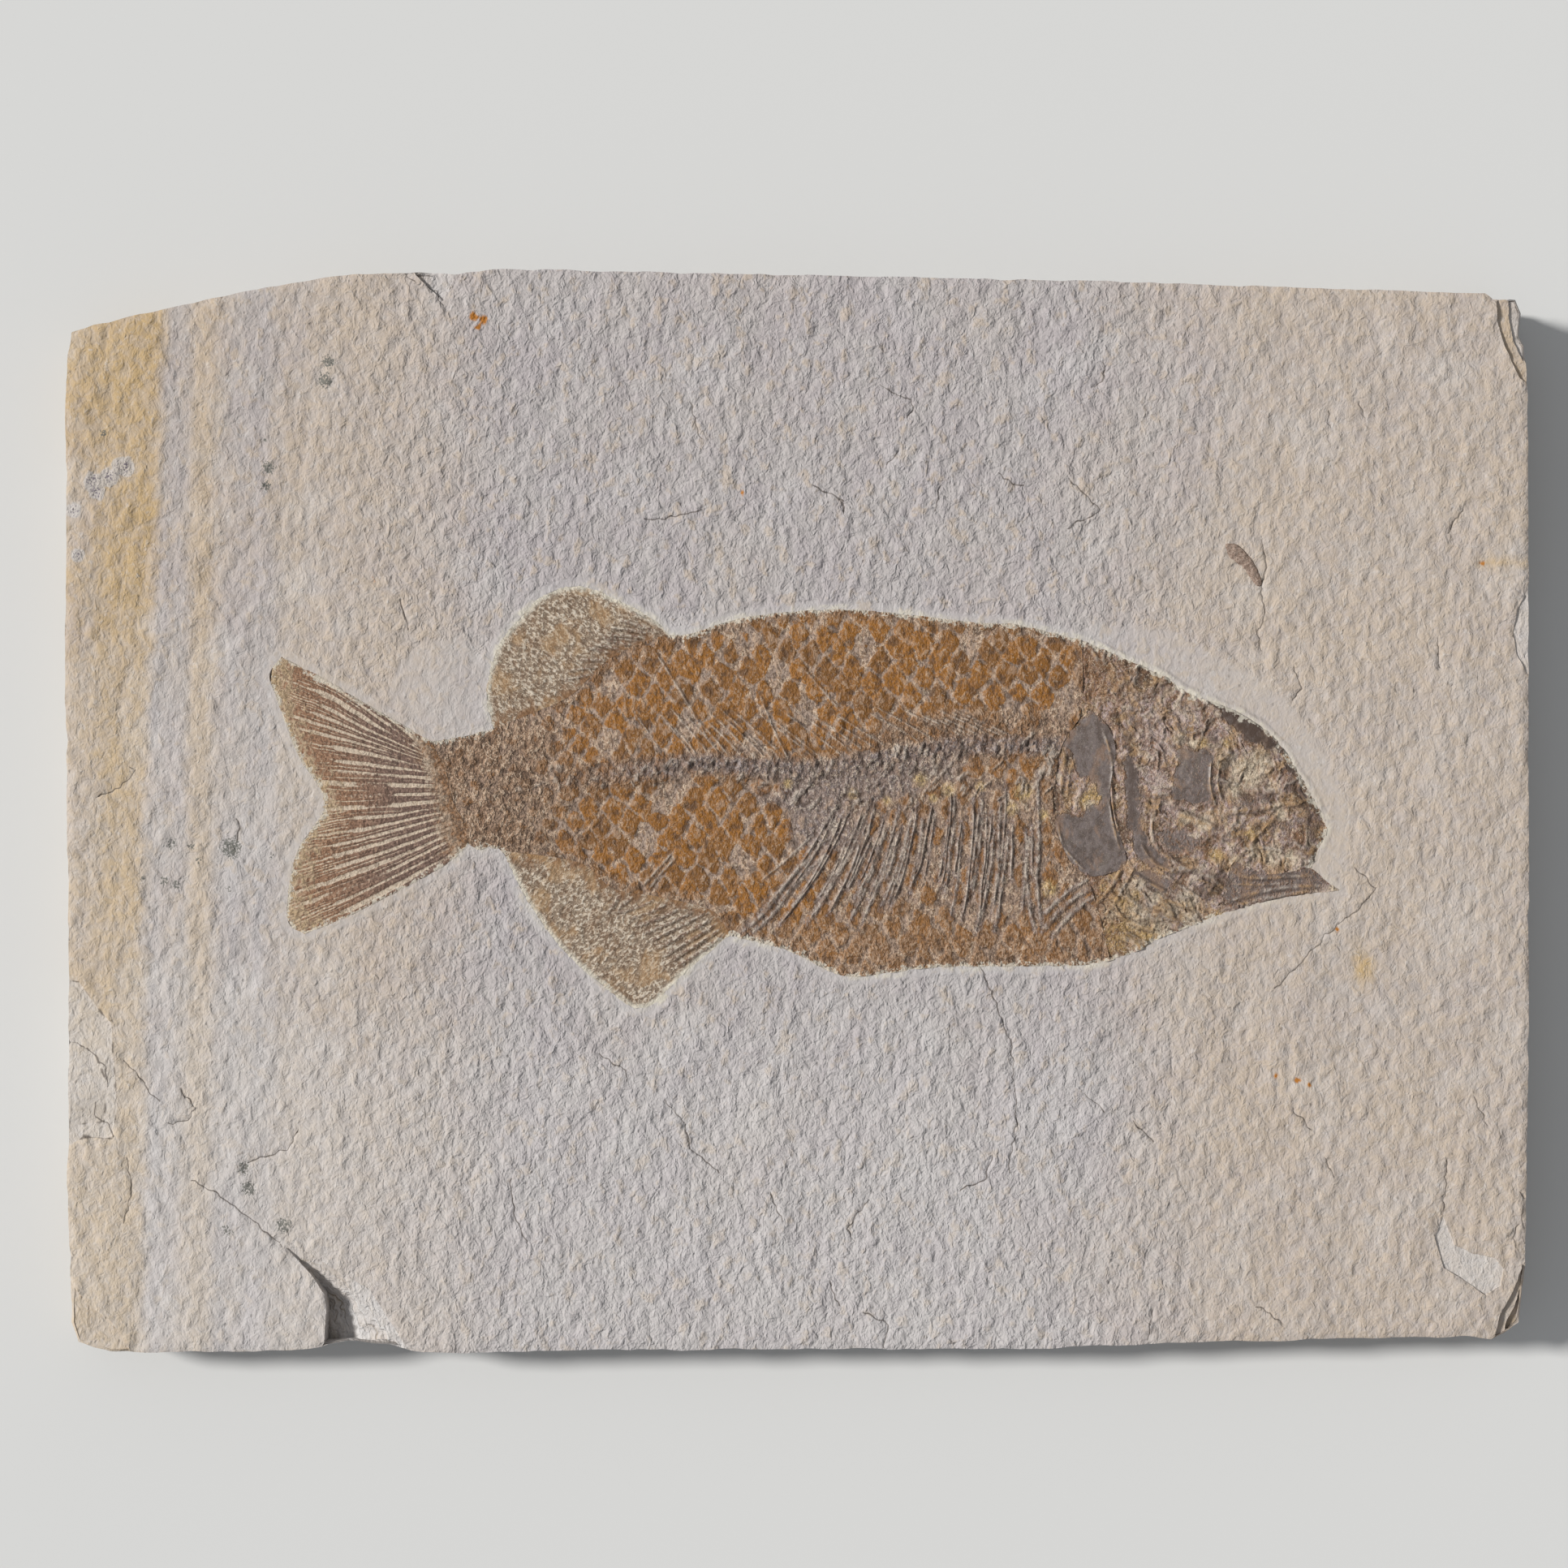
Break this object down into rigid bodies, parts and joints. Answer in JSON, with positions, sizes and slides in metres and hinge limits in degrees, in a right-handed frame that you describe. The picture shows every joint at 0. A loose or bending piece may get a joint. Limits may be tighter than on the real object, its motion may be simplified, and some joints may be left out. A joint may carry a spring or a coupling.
{
  "type": "fossil fish slab",
  "caption": "Thin split limestone slab with rough broken margins, and a whole fossil fish lying on its side in low relief on the face.",
  "frame": {"origin": "centre of the slab's flat underside, at the middle of its plan outline", "axes": "+X along the slab's long side towards the fish's snout, +Y towards the fish's back, +Z out of the face that carries the fish"},
  "size_m": [0.361, 0.2676, 0.0194],
  "materials": {
    "limestone": "matt, pebbly, pale grey-beige with ochre bands",
    "scales": "orange-brown fossil scale with a faint satin sheen",
    "skull_bone": "mottled brown, ochre and grey fossil bone",
    "gill_plate": "smooth dark grey-brown fossil bone",
    "fin_ray": "purple-brown rays on pale stone",
    "fin_membrane": "mottled beige and brown fin film",
    "coprolite": "dull grey-brown"
  },
  "bodies": {
    "root": {"limestone_slab": "limestone", "trunk": "scales", "skull": "skull_bone", "gill_cover": "gill_plate", "lower_jaw": "gill_plate", "tail_fin": "fin_ray", "dorsal_fin": "fin_membrane", "anal_fin": "fin_membrane", "coprolite": "coprolite"}
  },
  "joints": []
}
